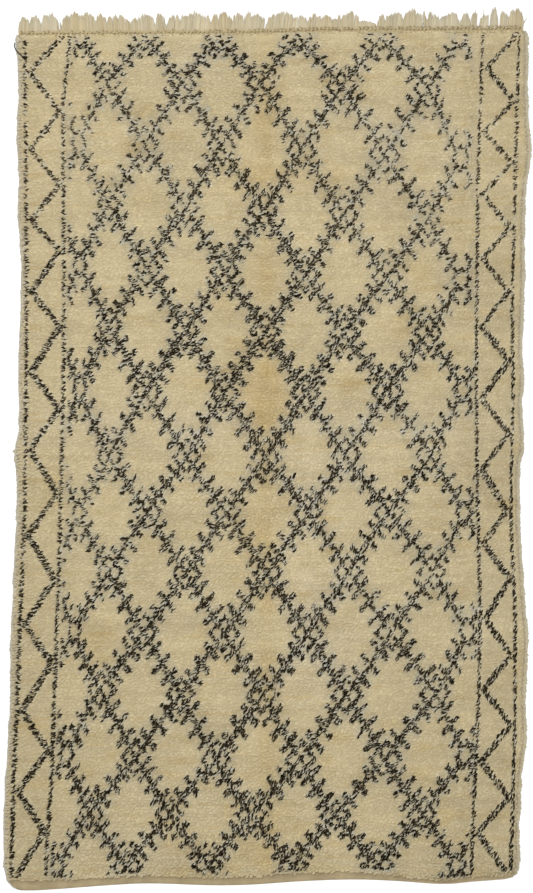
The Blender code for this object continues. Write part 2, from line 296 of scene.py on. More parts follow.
def past_zigzags(x, y):
    """Metres across from each place to the edge of the nearer zigzag."""
    past = []
    for zigzag in ZIGZAGS:
        turn_y = np.array(zigzag.turns)
        at_inner = np.arange(len(turn_y)) % 2 == (0 if zigzag.first_is_inner else 1)
        inner_x = border_x(zigzag.inner, turn_y) + zigzag.past_inner
        outer_x = border_x(zigzag.outer, turn_y) + zigzag.past_outer
        turn_x = np.where(at_inner, inner_x, outer_x)
        past.append(np.abs(x - np.interp(y, turn_y[::-1], turn_x[::-1])) - ZIGZAG_HALF_WIDTH)
    return np.minimum(*past)


def near_foot(y):
    """From 0 at the rug's middle and beyond to 1 near its foot end."""
    return np.clip(-y / 1.2, 0.0, 1.0)


def past_lines(x, y):
    """Metres across from each place to the edge of the nearest border line."""
    lines = ("left_outer", "left_inner", "right_inner", "right_outer")
    past = np.min([np.abs(x - border_x(line, y)) for line in lines], axis=0)
    return past - LINE_HALF_WIDTH - LINE_BOLDER * near_foot(y)


def past_field_strokes(x, y):
    """Metres to the nearest stroke of the lattice, which only the field between the lines has."""
    past_left = border_x("left_inner", y) + FIELD_MARGINS[0] - x
    past_right = x - border_x("right_inner", y) + FIELD_MARGINS[1]
    return np.maximum(past_lattice(x, y), np.maximum(past_left, past_right))


# How worn the dark wool is: fewer and finer dark fibres show towards the head.
Worn = namedtuple("Worn", "y left middle right")
WORN_ROWS = (               # 1 where it is gone and 0 or less where bold, at both sides and between
    Worn(-1.45, 0.00, -0.25, -0.25),
    Worn(-1.15, -0.10, -0.10, -0.10),
    Worn(-0.80, -0.20, 0.00, 0.05),
    Worn(-0.40, 0.10, 0.15, 0.20),
    Worn(-0.10, 0.20, 0.20, -0.05),
    Worn(0.10, 0.25, 0.15, 0.50),
    Worn(0.30, -0.40, -0.40, -0.50),
    Worn(0.52, 0.15, 0.10, 0.25),
    Worn(0.73, 0.10, 0.10, 0.50),
    Worn(0.95, 0.45, 0.20, 0.55),
    Worn(1.17, 0.90, 0.55, 0.80),
    Worn(1.27, 0.55, 0.30, 0.20),
    Worn(1.42, 0.05, -0.05, 0.50),
)


def wear(x, y):
    """How worn the dark wool is at each place."""
    left, middle, right = read_across(WORN_ROWS, y)
    beyond = mix(np.where(x < 0.0, left, right), middle, np.exp(-((x / 0.35) ** 2)))
    return np.clip(beyond + 0.12 * soft_noise(x, y, 0.07, 32), -0.5, 1.0)


# The pile stops short of the cloth's head edge, and the flat heading begins there.
PILE_STOP_PLACES = (-0.95, 0.0, 0.18, 0.95)
PILE_STOPS = (0.0105, 0.0105, 0.0050, 0.0065)


def pile_head_y(x):
    """y of the last row of knots at x."""
    return head_y(x) - np.interp(x, PILE_STOP_PLACES, PILE_STOPS)


def is_dark(x, y):
    """Whether the chart has dark wool at each place."""
    wobble = 0.0022 * soft_noise(x, y, 0.03, 31) - 0.0040 * wear(x, y)
    wobble = wobble + BOLD_MIDDLE * np.exp(-((x / 0.22) ** 2))
    in_stroke = np.minimum(past_field_strokes(x, y), past_zigzags(x, y)) < wobble
    dark = in_stroke | (past_lines(x, y) < 0.0)
    return dark & (y < pile_head_y(x) - 0.001) & (y > foot_y(x) + hem_width(x) + CHART_PAST_HEM)


# The hem: its width at each place across the foot end, and its height across its width.
HEM_PLACES = (-0.95, -0.82, -0.67, 0.32, 0.50, 0.68, 0.78, 0.86, 0.95)
HEM_WIDTHS = (0.030, 0.031, 0.026, 0.025, 0.017, 0.009, 0.015, 0.015, 0.008)
HEM_LINES = (0.0, 0.10, 0.22, 0.36, 0.52, 0.70, 0.86, 1.0, 1.3)
HEM_HEIGHTS = (0.0030, 0.0058, 0.0074, 0.0080, 0.0077, 0.0064, 0.0044, 0.0040, 0.0042)


def hem_width(x):
    """Width of the hem that shows at x."""
    return np.interp(x, HEM_PLACES, HEM_WIDTHS) + 0.0012 * soft_noise(x, 0.0, 0.05, 61)


def raise_top(bm, heights):
    """Extrude a flat sheet upwards, to the height given for each (x, y) of its vertices."""
    for part in bmesh.ops.extrude_face_region(bm, geom=list(bm.faces))["geom"]:
        if isinstance(part, bmesh.types.BMVert):
            part.co.z = heights[(part.co.x, part.co.y)]


def finished_mesh(bm, name):
    """A mesh made of a bmesh, with its faces turned outwards."""
    bmesh.ops.recalc_face_normals(bm, faces=bm.faces)
    mesh = bpy.data.meshes.new(name)
    bm.to_mesh(mesh)
    bm.free()
    return mesh


bm = bmesh.new()
bmesh.ops.create_grid(bm, x_segments=GROUND_COLUMNS, y_segments=GROUND_ROWS, size=0.5)
last_hem_line = len(HEM_LINES) - 1
grid_rows = np.array([round((vert.co.y + 0.5) * GROUND_ROWS) for vert in bm.verts])
grid_shares = np.array([vert.co.x + 0.5 for vert in bm.verts])
hem_here = hem_width(mix(left_low, right_high, grid_shares))
in_hem = hem_here * np.array(HEM_LINES)[np.minimum(grid_rows, last_hem_line)]
past_hem = np.maximum(grid_rows - last_hem_line, 0) / (GROUND_ROWS - last_hem_line)
cloth_x, cloth_y = on_the_cloth(grid_shares, in_hem, past_hem)
cloth_z = np.interp(in_hem / hem_here, HEM_LINES, HEM_HEIGHTS)
heights = {}
for vert, x, y, z in zip(bm.verts, cloth_x, cloth_y, cloth_z):
    vert.co = Vector((x, y, 0.0))
    heights[(vert.co.x, vert.co.y)] = z
under_edges = list(bm.edges)
raise_top(bm, heights)
bmesh.ops.subdivide_edges(bm, edges=under_edges, cuts=1, use_grid_fill=True)
ground_mesh = finished_mesh(bm, "woven_ground")

GROUND_WOOL = (0.306, 0.245, 0.144)
KNOT_BACK = (0.075, 0.060, 0.048)
WEFT_PITCH = 0.0053
WARP_PITCH = 0.0038


class Wire:
    """A value in a material's node tree. Arithmetic on it adds Math nodes."""

    def __init__(self, socket):
        self.socket = socket

    @classmethod
    def node(cls, tree, kind, settings=None, sockets=None, output=0):
        """Add a node: its settings first, then values or wires for its sockets."""
        made = tree.nodes.new(kind)
        for name, value in (settings or {}).items():
            setattr(made, name, value)
        for name, value in (sockets or {}).items():
            if isinstance(value, Wire):
                tree.links.new(value.socket, made.inputs[name])
            else:
                made.inputs[name].default_value = value
        return cls(made.outputs[output])

    def math(self, operation, first, second=0.0):
        """A Math node in this wire's tree."""
        tree = self.socket.id_data
        return Wire.node(tree, "ShaderNodeMath", {"operation": operation}, {0: first, 1: second})

    def sine(self):
        """The sine of this value."""
        return self.math("SINE", self)

    def over(self, limit):
        """One where this value is over a limit, otherwise nothing."""
        return self.math("GREATER_THAN", self, limit)

    def __add__(self, other):
        return self.math("ADD", self, other)

    def __radd__(self, other):
        return self.math("ADD", other, self)

    def __mul__(self, other):
        return self.math("MULTIPLY", self, other)

    def __rmul__(self, other):
        return self.math("MULTIPLY", other, self)


def wool_finish(name, roughness, sheen):
    """A matt wool material: returns it with its tree and shader, colour still to be wired."""
    material = bpy.data.materials.new(name)
    material.use_nodes = True
    tree = material.node_tree
    shader = tree.nodes["Principled BSDF"]
    shader.inputs["Roughness"].default_value = roughness
    shader.inputs["Specular IOR Level"].default_value = 0.03
    shader.inputs["Sheen Weight"].default_value = sheen
    shader.inputs["Sheen Roughness"].default_value = 0.6
    shader.inputs["Sheen Tint"].default_value = (0.62, 0.50, 0.30, 1.0)
    return material, tree, shader


def tinted(tree, colour, strength):
    """A colour made lighter or darker by a wire that runs about 1."""
    sockets = {"Vector": colour, "Scale": strength}
    return Wire.node(tree, "ShaderNodeVectorMath", {"operation": "SCALE"}, sockets)


def blended(tree, first, second, share):
    """A colour that lies share of the way from one to another."""
    settings = {"data_type": "RGBA"}
    return Wire.node(tree, "ShaderNodeMix", settings, {0: share, 6: first, 7: second}, output=2)


def places(tree):
    """Where a point of the piece lies: as a whole, across the rug and along it."""
    place = Wire.node(tree, "ShaderNodeTexCoord", output=3)
    across, along = (
        Wire.node(tree, "ShaderNodeSeparateXYZ", sockets={"Vector": place}, output=axis)
        for axis in (0, 1)
    )
    return place, across, along


def fibres(tree, place, scale, detail):
    """The soft unevenness of spun wool, from 0 to 1."""
    sockets = {"Vector": place, "Scale": scale, "Detail": detail}
    return Wire.node(tree, "ShaderNodeTexNoise", sockets=sockets)


def wire_up(tree, shader, colour, height, depth, strength):
    """Give a wool material its colour, and a relief that is depth metres deep."""
    relief = {"Height": height, "Distance": depth, "Strength": strength}
    bump = Wire.node(tree, "ShaderNodeBump", sockets=relief)
    tree.links.new(colour.socket, shader.inputs["Base Color"])
    tree.links.new(bump.socket, shader.inputs["Normal"])


def add_piece(name, mesh, material):
    """Show a finished mesh as a piece of the rug, which rides on the rug's one body."""
    mesh.materials.append(material)
    mesh.shade_smooth()
    mesh.set_sharp_from_angle(angle=math.radians(80.0))
    piece = bpy.data.objects.new(name, mesh)
    bpy.context.scene.collection.objects.link(piece)
    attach(piece, "root")
    return piece


ground_points = mesh_points(ground_mesh)
knot_backs = is_dark(ground_points[:, 0], ground_points[:, 1])
knot_backs &= ground_points[:, 2] < 1e-5
layer = ground_mesh.attributes.new("knot_backs", "FLOAT", "POINT")
layer.data.foreach_set("value", knot_backs.astype(float))

ground_wool, tree, shader = wool_finish("ground_wool", 0.92, 0.10)
place, across, along = places(tree)
wefts = (along * (2.0 * math.pi / WEFT_PITCH)).sine()
warps = (across * (2.0 * math.pi / WARP_PITCH)).sine()
weave = wefts * warps
slub, soil = fibres(tree, place, 160.0, 3.0), fibres(tree, place, 24.0, 3.0)
backs = Wire.node(tree, "ShaderNodeAttribute", {"attribute_name": "knot_backs"}, output=2)
knotted = backs.over(0.40) * (0.62 + 0.38 * wefts)
cloth = tinted(tree, GROUND_WOOL, 0.47 + 0.26 * slub + 0.07 * weave + 0.74 * soil)
knots = tinted(tree, KNOT_BACK, 0.7 + 0.6 * slub)
wire_up(tree, shader, blended(tree, cloth, knots, knotted), weave * 0.5 + slub, 0.0012, 0.7)

ground = add_piece("woven_ground", ground_mesh, ground_wool)
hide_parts("rug_body")


# --- Pile bed -----------------------------------------------------------------------------
# The dense lower part of the pile, where the tufts stand so close that they are one soft
# body of wool. It is tied into the ground all over, stops short of the hem, and rounds down
# to the floor along both side edges.
BED_COLUMNS = 84
BED_ROWS = 150
BED_CROWDING = 0.0055       # share of the width by which its columns crowd to the sides
TIPS_ABOVE_BED = 0.0050
BED_FOOT = 0.0030           # the bed starts inside the ground cloth
BED_BACK_FROM_HEM = 0.007   # the bed starts this far behind the hem's groove
FROM_SIDE = (0.0, 0.004, 0.012, 0.030)
SIDE_SHOULDER = (0.25, 0.62, 0.92, 1.0)

rug_surface = BVHTree.FromPolygons(rug_points.tolist(), rug_faces.tolist())


def pile_top(x, y):
    """Height of the pile's tips at each place, as the solid rug has it."""
    down = Vector((0.0, 0.0, -1.0))
    heights = []
    for place_x, place_y in zip(np.ravel(x), np.ravel(y)):
        met = rug_surface.ray_cast(Vector((place_x, place_y, 1.0)), down)[0]
        heights.append(met.z if met else 0.006)
    return np.array(heights).reshape(np.shape(x))


def side_distance(x, y):
    """How far in from the nearer side edge a place lies."""
    return np.minimum(x - left_x(y), right_x(y) - x)


def bed_height(x, y):
    """Height of the bed at each place."""
    shoulder = np.interp(side_distance(x, y), FROM_SIDE, SIDE_SHOULDER)
    return np.maximum(BED_FOOT + 0.001, (pile_top(x, y) - TIPS_ABOVE_BED) * shoulder)


bm = bmesh.new()
bmesh.ops.create_grid(bm, x_segments=BED_COLUMNS, y_segments=BED_ROWS, size=0.5)
shares = np.array([vert.co.x + 0.5 for vert in bm.verts])
shares = shares - BED_CROWDING * np.sin(shares * 2.0 * math.pi)
alongs = np.array([vert.co.y + 0.5 for vert in bm.verts])
bed_start = hem_width(mix(left_low, right_high, shares)) + BED_BACK_FROM_HEM
bed_x, bed_y = on_the_cloth(shares, bed_start, alongs)
bed_y = np.minimum(bed_y, pile_head_y(bed_x) - 0.0010)
bed_z = bed_height(bed_x, bed_y)
for vert, x, y, z in zip(bm.verts, bed_x, bed_y, bed_z):
    vert.co = Vector((x, y, z))
skirt = bmesh.ops.extrude_edge_only(bm, edges=[edge for edge in bm.edges if edge.is_boundary])
for part in skirt["geom"]:
    if isinstance(part, bmesh.types.BMVert):
        part.co.z = BED_FOOT
bmesh.ops.holes_fill(bm, edges=[edge for edge in bm.edges if edge.is_boundary], sides=0)
bed_mesh = finished_mesh(bm, "pile_bed")

# Colours of the undyed wool, and the golden stains that the years have left along its middle.
CREAM = np.array((0.480, 0.402, 0.246))
CREAM_GREYED = np.array((0.414, 0.350, 0.214))
BESIDE_DARK = np.array((0.87, 0.90, 0.97))      # cream beside dark knots is greyed by their fibres
BESIDE_REACH = 0.014
FOOT_DARKENING = 0.10            # the last hand's breadth before the hem is painted this much darker
SIDE_DARKENING = 0.08            # and the pile beside the two side edges is painted this much darker
BED_SHADE = 0.92            # the bed is painted darker than the tips of the tufts: painted shade deep in the pile
RIM_SHADE_GREY = np.array((0.425, 0.393, 0.318))      # the very edge is painted this grey: painted shade along the rim
GOLDEN = np.array((0.385, 0.284, 0.124))
Stain = namedtuple("Stain", "x y wide long strength")
STAINS = (
    Stain(0.00, 1.25, 0.07, 0.17, 0.72),
    Stain(-0.02, 0.98, 0.16, 0.05, 0.68),
    Stain(-0.01, 0.62, 0.06, 0.10, 0.45),
    Stain(-0.01, 0.20, 0.075, 0.19, 1.00),
    Stain(-0.04, -0.31, 0.075, 0.15, 0.72),
    Stain(0.02, -1.05, 0.05, 0.30, 0.45),
    Stain(0.01, -1.45, 0.06, 0.10, 0.45),
    Stain(0.24, 0.98, 0.10, 0.04, 0.50),
    Stain(-0.62, -0.75, 0.12, 0.16, 0.20),
    Stain(-0.44, 0.91, 0.06, 0.05, 0.35),
    Stain(-0.68, 1.30, 0.05, 0.05, 0.30),
    Stain(-0.32, 1.12, 0.05, 0.04, 0.25),
    Stain(-0.17, 0.54, 0.05, 0.05, 0.45),
    Stain(-0.43, -0.32, 0.05, 0.05, 0.35),
    Stain(-0.43, 0.11, 0.05, 0.05, 0.30),
    Stain(-0.16, -0.75, 0.12, 0.06, 0.28),
    Stain(-0.77, -0.15, 0.05, 0.07, 0.30),
    Stain(0.0, 0.0, 0.030, 3.0, 0.30),
)
PALE = np.array((0.500, 0.432, 0.292))
PALE_PATCHES = (            # places that have stayed lighter
    Stain(0.00, 0.08, 1.20, 0.10, 0.45),
    Stain(0.20, -0.10, 0.20, 0.16, 0.50),
    Stain(0.20, -0.62, 0.14, 0.26, 0.75),
    Stain(0.76, -0.62, 0.10, 0.20, 0.45),
    Stain(-0.43, 1.07, 0.06, 0.05, 0.50),
    Stain(0.16, 1.41, 0.09, 0.05, 0.45),
    Stain(-0.22, 1.38, 0.12, 0.08, 0.60),
    Stain(0.45, 1.10, 0.20, 0.16, 0.35),
)


def rim_shade_share(x, y):
    """How much painted grey shade the rim gets: fully on the left, less on the right and at its
    foot end.
    """
    return np.where(x < 0.0, 1.0, 0.55 - 0.25 * near_foot(y))


def cream_wool(x, y):
    """Colour of the undyed pile at each place, one row of red, green and blue for each."""
    greyed = np.clip(0.35 - 0.24 * y + 0.20 * soft_noise(x, y, 0.42, 3), 0.0, 1.0)
    colour = mix(CREAM, CREAM_GREYED, greyed[:, None])
    for stains, tone in ((PALE_PATCHES, PALE), (STAINS, GOLDEN)):
        for stain in stains:
            away = ((x - stain.x) / stain.wide) ** 2 + ((y - stain.y) / stain.long) ** 2
            wash = stain.strength * np.exp(-away) * (0.8 + 0.3 * soft_noise(x, y, 0.04, 5))
            colour = mix(colour, tone, np.clip(wash, 0.0, 1.0)[:, None])
    dusty = np.clip(soft_noise(x, y * 14.0, 0.12, 12) - 0.35, 0.0, 1.0) * 0.8
    patches = soft_noise(x, y, 0.11, 13) + soft_noise(x, y * 2.5, 0.07, 14)
    dusty += np.clip(patches - 0.5, 0.0, 1.0) * 0.4
    rows = soft_noise(x, y * 16.0, 0.10, 11)
    colour = mix(colour, GOLDEN, (dusty + 0.12 * np.maximum(rows, 0.0))[:, None])
    beside = np.exp(-((np.maximum(past_field_strokes(x, y), 0.0) / BESIDE_REACH) ** 2))
    colour = colour * mix(1.0, BESIDE_DARK, beside[:, None])
    streaks = 0.045 * soft_noise(x, y * 9.0, 0.30, 7) + 0.040 * soft_noise(x, y * 14.0, 0.16, 8)
    streaks = streaks + 0.012 - 0.045 * rows
    clouds = 0.055 * soft_noise(x, y, 0.09, 9) + 0.040 * soft_noise(x, y, 0.035, 10)
    # Painted darker towards the foot end and towards both side edges.
    wear_and_darkening = FOOT_DARKENING * np.clip(1.0 - (y - foot_y(x)) / 0.12, 0.0, 1.0)
    wear_and_darkening = wear_and_darkening + SIDE_DARKENING * np.exp(-side_distance(x, y) / 0.14)
    # Painted shade along the very edge: the colour is drawn towards a grey, most of all on the
    # left.
    rim = 0.75 * np.exp(-((np.maximum(side_distance(x, y), 0.0) / 0.009) ** 2)) * rim_shade_share(x, y)
    colour = mix(colour * (1.0 + streaks + clouds - wear_and_darkening)[:, None], RIM_SHADE_GREY, rim[:, None])
    return colour


def paint(mesh, colours):
    """Store one colour for each vertex of a mesh."""
    layer = mesh.color_attributes.new("wool_colour", "FLOAT_COLOR", "POINT")
    rgba = np.ones((len(colours), 4))
    rgba[:, :3] = colours
    layer.data.foreach_set("color", rgba.ravel())


bed_points = mesh_points(bed_mesh)
paint(bed_mesh, cream_wool(bed_points[:, 0], bed_points[:, 1]) * BED_SHADE)


def spun_wool(tree, strength):
    """The colour painted on a mesh, made lighter or darker by a wire that runs about 1."""
    painted = Wire.node(tree, "ShaderNodeAttribute", {"attribute_name": "wool_colour"})
    return tinted(tree, painted, strength)


pile_wool, tree, shader = wool_finish("pile_wool", 0.92, 0.03)
fibre = fibres(tree, places(tree)[0], 420.0, 2.0)
wire_up(tree, shader, spun_wool(tree, 0.88 + 0.24 * fibre), fibre, 0.0015, 0.6)
bed = add_piece("pile_bed", bed_mesh, pile_wool)
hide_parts("rug_body")


# --- Pile tufts ---------------------------------------------------------------------------
# The cut ends of the knots: short thick locks of hand-spun wool, one for each knot, that lean
# towards the foot end and to the left and cover each other like thatch. The weaver ties them
# row by row round the warps, from cream or from near-black wool as the chart says.
KNOTS_ACROSS = 246
KNOT_ROWS = 291
KNOT_JITTER = 0.16          # share of the step between knots by which they stand off their places
BANDS = 5                   # the tufts are made in this many pieces, from the head to the foot
FIRST_ROW_BACK = 0.006      # the first row stands this far behind the hem's groove
TUFT_LENGTH = (0.0130, 0.0190)
TUFT_HALF_WIDTH = (0.0046, 0.0064)
CREAM_LEAN = math.radians(186.0)    # the cream tufts lie nearly along the rows of knots
TUFT_THICKNESS = 0.0022
TUFT_BULGE = 0.0008
TUFT_ROOT_SINK = 0.0015     # the roots start this far inside the bed
STRANDS = 3                 # the dark wool is coarser: its knots open into this many strands
STRAND_HALF_WIDTH = (0.0018, 0.0034)
STRAND_SPREAD = (0.0028, 0.0038)    # how far across and along they stand off their knot
STRAND_LONGER = 1.15
STRAND_HIGHER = 0.0022
CREAM_AMONG_DARK = 0.80     # share of the dark knots that a cream tuft lies under
FOOT_FRESHER = (0.16, 0.04) # that much less of them, and wider strands, near the foot end
CREAM_STRANDS = 0.05        # share of the strands among the dark ones that are cream
DARK_WOOL = np.array((0.0036, 0.0027, 0.0016))
BROWN_WOOL = np.array((0.105, 0.078, 0.040))
STRAY_HAIRS = np.array((0.96, 1.06, 1.30))  # what fine dark hairs do to the tone of cream tufts
STRAY_REACH = 0.0065        # that stand this near to the dark ones
MISSING = (0.01, 0.22)      # share of the dark knots worn away, where fresh and where worn


def stretched_form(rings):
    """A small closed three-sided form along X, 1 long, from (place, width) of each ring.

    It runs to a point at its far end, and at its root too unless the first ring stands there.
    """
    form = bmesh.new()
    bmesh.ops.create_circle(form, cap_ends=True, segments=3, radius=1.0)
    first_place, width = rings[0]
    for vert in form.verts:
        vert.co = Vector((first_place, width * vert.co.x, 0.5 * width * vert.co.y))
    end = list(form.faces)
    root = end[0]
    for place, next_width in (*rings[1:], (1.0, 0.0)):
        grown = bmesh.ops.extrude_face_region(form, geom=end)["geom"]
        end = [part for part in grown if isinstance(part, bmesh.types.BMFace)]
        share = next_width / width
        for vert in end[0].verts:
            vert.co = Vector((place, vert.co.y * share, vert.co.z * share))
        width = next_width
    bmesh.ops.remove_doubles(form, verts=form.verts, dist=1e-5)
    if first_place > 0.0:
        bmesh.ops.poke(form, faces=[root])["verts"][0].co = Vector((0.0, 0.0, 0.0))
    bmesh.ops.recalc_face_normals(form, faces=form.faces)
    form.verts.ensure_lookup_table()
    points = np.array([vert.co for vert in form.verts])
    faces = [[vert.index for vert in face.verts] for face in form.faces]
    form.free()
    return points, faces


def laid_out(form_points, root, tip, half_width, thickness, bulge, bow=0.0):
    """Points of one copy of a form for each root and tip.

    A copy rises by bulge and swings sideways by bow half-way along.
    """
    half_width, thickness, bulge, bow = (
        np.broadcast_to(value, len(root)) for value in (half_width, thickness, bulge, bow)
    )
    reach = tip - root
    level = reach[:, :2] / np.maximum(np.linalg.norm(reach[:, :2], axis=1), 1e-6)[:, None]
    sideways = np.stack([-level[:, 1], level[:, 0], np.zeros(len(level))], axis=1)
    share = form_points[:, 0]
    arc = 4.0 * share * (1.0 - share)
    places = root[:, None, :] + reach[:, None, :] * share[None, :, None]
    swing = half_width[:, None] * form_points[None, :, 1] + bow[:, None] * arc[None, :]
    places = places + sideways[:, None, :] * swing[:, :, None]
    lift = thickness[:, None] * form_points[None, :, 2] + bulge[:, None] * arc[None, :]
    places[:, :, 2] += lift
    return places


def joined_copies(name, form_faces, points, colours, shade):
    """One mesh of many copies of a form, coloured copy by copy and shaded along each one."""
    count, size = points.shape[:2]
    corners = np.concatenate(form_faces)
    sides = np.array([len(face) for face in form_faces])
    mesh = bpy.data.meshes.new(name)
    mesh.vertices.add(count * size)
    mesh.vertices.foreach_set("co", points.ravel())
    mesh.loops.add(count * len(corners))
    steps = (np.arange(count) * size)[:, None]
    mesh.loops.foreach_set("vertex_index", (corners[None, :] + steps).ravel())
    starts = np.concatenate([[0], np.cumsum(np.tile(sides, count))[:-1]])
    mesh.polygons.add(count * len(sides))
    mesh.polygons.foreach_set("loop_start", starts)
    mesh.update(calc_edges=True)
    paint(mesh, (colours[:, None, :] * shade[None]).reshape(-1, 3))
    return mesh


def lean_angle(x, y):
    """Direction on the floor in which the tufts' tips point, in radians from +X."""
    lean = 225.0 - 5.0 * y + 12.0 * x - 25.0 * np.exp(-(((x + 0.90) / 0.18) ** 2))
    lean = lean + 20.0 * soft_noise(x, y, 0.33, 41) + 12.0 * soft_noise(x, y, 0.10, 42)
    return np.radians(lean)


draw = np.random.default_rng(2024)
column, row = np.meshgrid(np.arange(KNOTS_ACROSS), np.arange(KNOT_ROWS))
column, row = column.ravel().astype(float), row.ravel().astype(float)
knots = len(column)
jitter = draw.normal(0.0, KNOT_JITTER, (knots, 2))
across = np.clip((column + 0.25 + 0.5 * (row % 2) + jitter[:, 0]) / KNOTS_ACROSS, 0.002, 0.998)
along = (row + 0.5 + jitter[:, 1]) / KNOT_ROWS
back = hem_width(mix(left_low, right_high, across)) + FIRST_ROW_BACK
root_x, root_y = on_the_cloth(across, back, along)
root_y = np.minimum(root_y, pile_head_y(root_x) - draw.uniform(0.0, 0.004, knots))
from_side = np.maximum(side_distance(root_x, root_y), 0.0)
at_edge = np.exp(-from_side / 0.008)
at_head = np.exp(-np.maximum(pile_head_y(root_x) - root_y, 0.0) / 0.005)
outward = np.where(root_x > 0.0, 2.0 * math.pi - 0.30, math.pi + 0.30)
combed = lean_angle(root_x, root_y)
lean = mix(combed, CREAM_LEAN, 0.6) + draw.normal(0.0, 0.25, knots)
lean = mix(mix(lean, outward, at_edge), draw.uniform(0.25, 0.75, knots) * math.pi, at_head)
length = draw.uniform(*TUFT_LENGTH, knots) * (1.0 - 0.45 * at_head)
length = np.minimum(length, from_side + 0.003)


def tuft_ends(root_x, root_y, lean, length, higher, held_low):
    """Root and tip of each tuft, and the place where most of it is seen."""
    count = len(root_x)
    tip_x, tip_y = root_x + np.cos(lean) * length, root_y + np.sin(lean) * length
    tip_z = pile_top(root_x, root_y) + draw.normal(0.0, 0.0007, count) + higher
    tip_z += 0.0008 * soft_noise(root_x, root_y, 0.05, 51)
    tip_z = mix(tip_z, np.minimum(tip_z, 0.0070), held_low)
    root_z = bed_height(root_x, root_y) - TUFT_ROOT_SINK
    roots = np.stack([root_x, root_y, root_z], axis=1)
    tips = np.stack([tip_x, tip_y, tip_z], axis=1)
    return roots, tips, mix(root_x, tip_x, 0.6), mix(root_y, tip_y, 0.6)


held_low = np.maximum(at_edge, 0.8 * at_head)
roots, tips, seen_x, seen_y = tuft_ends(root_x, root_y, lean, length, 0.0, held_low)
charted = is_dark(seen_x, seen_y)
kept = ~charted | (draw.random(knots) < CREAM_AMONG_DARK - FOOT_FRESHER[0] * near_foot(seen_y))
half_width = draw.uniform(*TUFT_HALF_WIDTH, knots)
tone = cream_wool(seen_x, seen_y) * draw.normal(1.0, 0.045, knots)[:, None]
hue = draw.normal(0.0, 0.14, knots)[:, None]
tone = mix(tone, np.where(hue > 0.0, GOLDEN, PALE), np.minimum(np.abs(hue), 0.4))
beside = charted.astype(float)
for step_x, step_y in ((1.0, 0.0), (-1.0, 0.0), (0.0, 1.0), (0.0, -1.0)):
    beside += is_dark(seen_x + step_x * STRAY_REACH, seen_y + step_y * STRAY_REACH)
tone *= mix(1.0, STRAY_HAIRS, (beside / 5.0)[:, None])
band_of = np.clip((KNOT_ROWS - 1 - row) * BANDS // KNOT_ROWS, 0, BANDS - 1)
cream_tufts = (roots[kept], tips[kept], half_width[kept], tone[kept], band_of[kept])

strands = knots * STRANDS
strand_x = np.repeat(root_x, STRANDS) + STRAND_SPREAD[0] * draw.uniform(-1.0, 1.0, strands)
strand_y = np.repeat(root_y, STRANDS) + STRAND_SPREAD[1] * draw.uniform(-1.0, 1.0, strands)
at_head, at_edge, held_low = (
    np.repeat(share, STRANDS) for share in (at_head, at_edge, held_low)
)
unruly = 0.26 + 0.22 * np.clip((root_y - 0.4) / 0.8, 0.0, 1.0)
knot_lean = combed + unruly * draw.normal(0.0, 1.0, knots)
strand_lean = np.repeat(knot_lean, STRANDS) + draw.normal(0.0, 0.16, strands)
upright = draw.uniform(0.25, 0.75, strands) * math.pi
strand_lean = mix(mix(strand_lean, np.repeat(outward, STRANDS), at_edge), upright, at_head)
strand_length = draw.uniform(*TUFT_LENGTH, strands) * STRAND_LONGER * (1.0 - 0.45 * at_head)
roots, tips, seen_x, seen_y = tuft_ends(
    strand_x, strand_y, strand_lean, strand_length, STRAND_HIGHER, held_low
)
wear_and_darkening = np.maximum(wear(seen_x, seen_y), 0.0)
kept = is_dark(seen_x, seen_y) & (draw.random(strands) > 0.05)
kept &= np.repeat(draw.random(knots), STRANDS) > mix(*MISSING, wear_and_darkening)
half_width = draw.uniform(*STRAND_HALF_WIDTH, strands)
half_width *= 1.0 + 0.22 * soft_noise(strand_x, strand_y, 0.020, 53)
half_width *= 1.0 + FOOT_FRESHER[1] * near_foot(strand_y)
browned = np.clip(draw.gamma(1.1, 0.15 + 0.35 * wear_and_darkening), 0.0, 1.0)
tone = mix(DARK_WOOL, BROWN_WOOL, browned[:, None])
creamy = draw.random(strands) < CREAM_STRANDS
tone[creamy] = cream_wool(seen_x[creamy], seen_y[creamy]) * 1.02
strand_band = np.repeat(band_of, STRANDS)
dark_strands = (roots[kept], tips[kept], half_width[kept], tone[kept], strand_band[kept])

roots, tips, half_width, tone, band_of = (
    np.concatenate(both) for both in zip(cream_tufts, dark_strands)
)
tuft_points, tuft_faces = stretched_form(((0.50, 1.0),))
tufts = laid_out(tuft_points, roots, tips, half_width, TUFT_THICKNESS, TUFT_BULGE)
# Each tuft is painted darker at its root and a little lighter at its tip: painted shade down in the
# pile, painted light on the tips.
tuft_shade = np.interp(tuft_points[:, 0], (0.0, 0.50, 1.0), (0.84, 0.97, 1.03))[:, None]
for band in range(BANDS):
    chosen = band_of == band
    name = f"pile_tufts_{band + 1}"
    mesh = joined_copies(name, tuft_faces, tufts[chosen], tone[chosen], tuft_shade)
    add_piece(name, mesh, pile_wool)


# --- Edge locks ---------------------------------------------------------------------------
# The tufts of the outermost knots, which hang over both side edges of the cloth. They lie on
# the floor side by side as one soft wavy rim, and a few of them stand out from it.
LOCK_PITCH = 0.0021
RIM_REACH = (0.0005, 0.0105)
RIGHT_FURTHER = 0.0028      # the right-hand rim stands out further
RIM_WAVE = 0.030
LOCK_HALF_WIDTH = (0.0030, 0.0042)
LOCK_THICKNESS = 0.0032
LOCK_BULGE = 0.0012
LOCK_UNEVEN = (0.60, 1.15)  # shortest and longest lock as a share of the rim there
LOCK_HEIGHT = (0.0035, 0.0105)      # of its root
LOCK_ROOT_IN = (0.003, 0.009)       # from the cloth's edge to its root
LOCK_DROOP = 0.35           # a lock leans to the foot, and drops, by this share
Tuft = namedtuple("Tuft", "side y reach")
STANDING_OUT = (
    Tuft("left", -0.004, 0.015),
    Tuft("left", -0.250, 0.011),
    Tuft("left", -1.500, 0.011),
    Tuft("right", 0.960, 0.011),
    Tuft("right", -0.740, 0.011),
)

